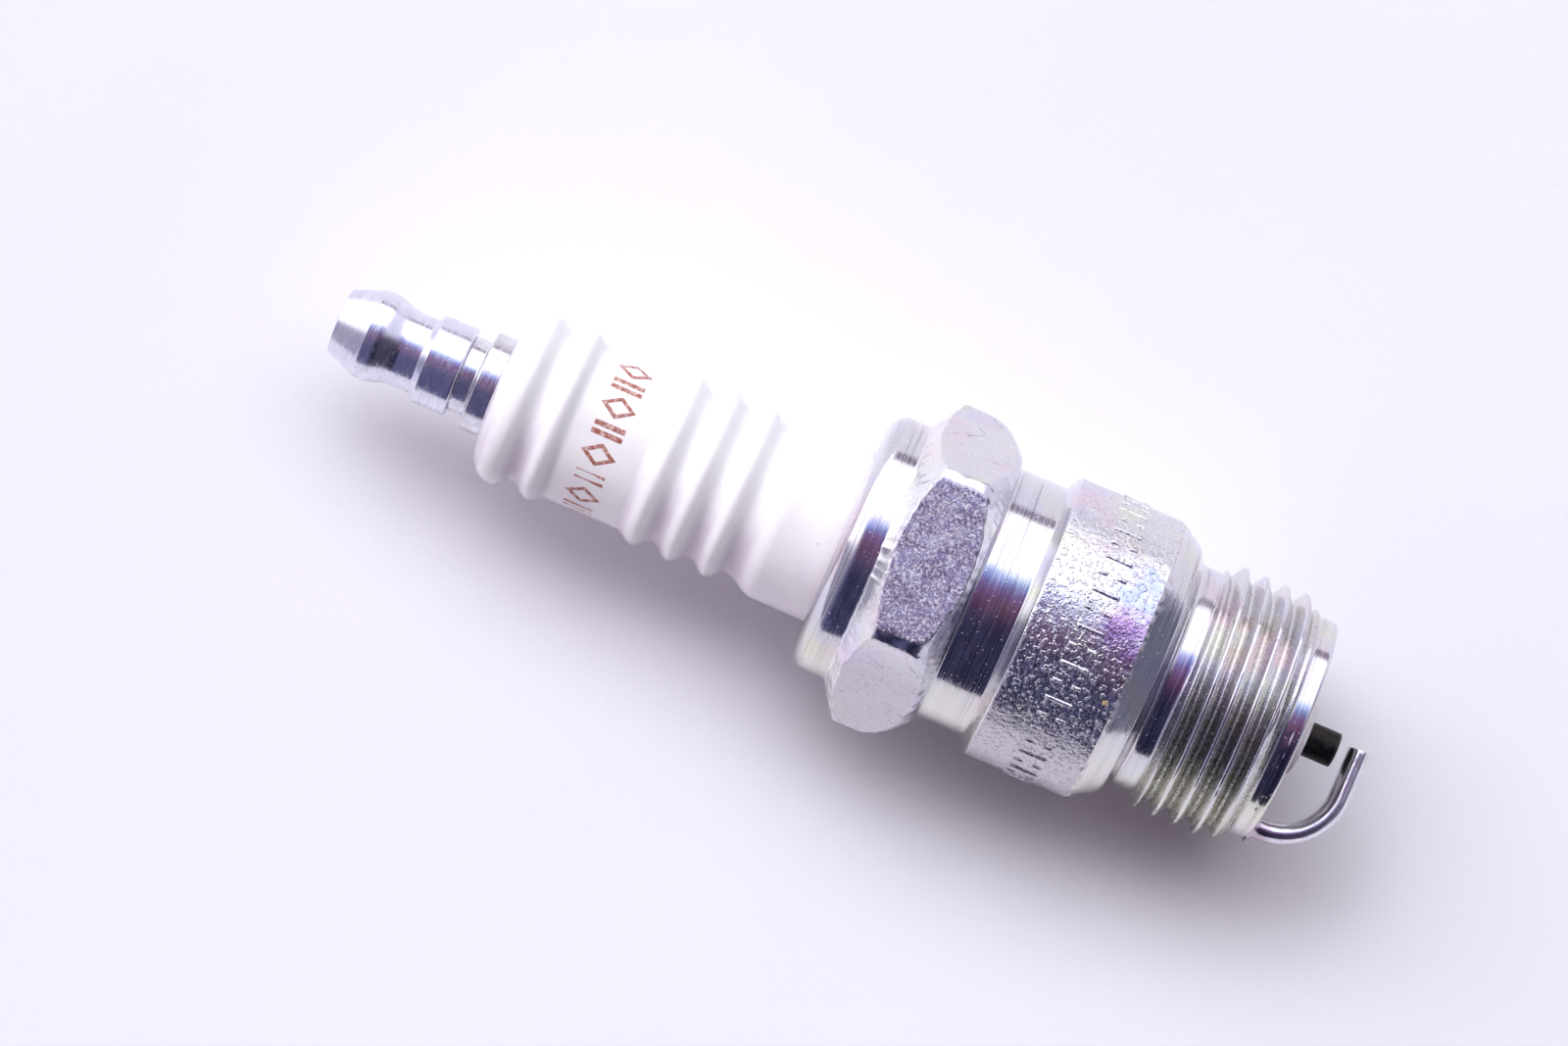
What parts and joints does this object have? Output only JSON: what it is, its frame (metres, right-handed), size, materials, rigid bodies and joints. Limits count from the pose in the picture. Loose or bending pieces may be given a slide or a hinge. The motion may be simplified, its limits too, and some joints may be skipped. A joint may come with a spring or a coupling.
{
  "type": "spark plug",
  "caption": "Spark plug with a conical seat: ribbed ceramic insulator, hexagon shell with a screw thread, screw-on terminal nut and side ground electrode.",
  "frame": {"origin": "on the plug's axis, in the gauge plane of the conical seat, where the cone's radius is 9.75 mm", "axes": "+X along the plug towards the firing end; the plug lies on one hexagon flat, which faces -Z; the ground electrode rises from the shell on the -Y side"},
  "size_m": [0.0759, 0.0234, 0.0206],
  "materials": {
    "shell_plate": "bright zinc plate, peened on the barrel and the hexagon, turned elsewhere",
    "nickel_wire": "drawn nickel-alloy wire, shiny",
    "insulator_glaze": "glossy white glaze",
    "terminal_metal": "turned and polished",
    "stud_metal": "turned, zinc plated",
    "seal_glass": "dark conductive glass",
    "resistor_body": "dark fired carbon and glass mix",
    "centre_nickel": "dark oxidised nickel alloy",
    "copper_core": "plain copper",
    "packing_steel": "plain soft steel",
    "talc": "pressed powder"
  },
  "bodies": {
    "plug": {"shell": "shell_plate", "ground_electrode": "nickel_wire", "insulator": "insulator_glaze", "terminal_stud": "stud_metal", "upper_glass_seal": "seal_glass", "resistor": "resistor_body", "lower_glass_seal": "seal_glass", "centre_electrode": "centre_nickel", "centre_electrode_core": "copper_core", "seat_washer": "packing_steel", "talc_packing": "talc", "upper_packing_ring": "packing_steel", "lower_packing_ring": "packing_steel"},
    "terminal_nut": {"terminal_nut": "terminal_metal"}
  },
  "joints": [
    {"name": "terminal_nut_removal", "type": "slide", "parent": "plug", "child": "terminal_nut", "axis": [-1, 0, 0], "range_m": [0, 0.008]}
  ]
}
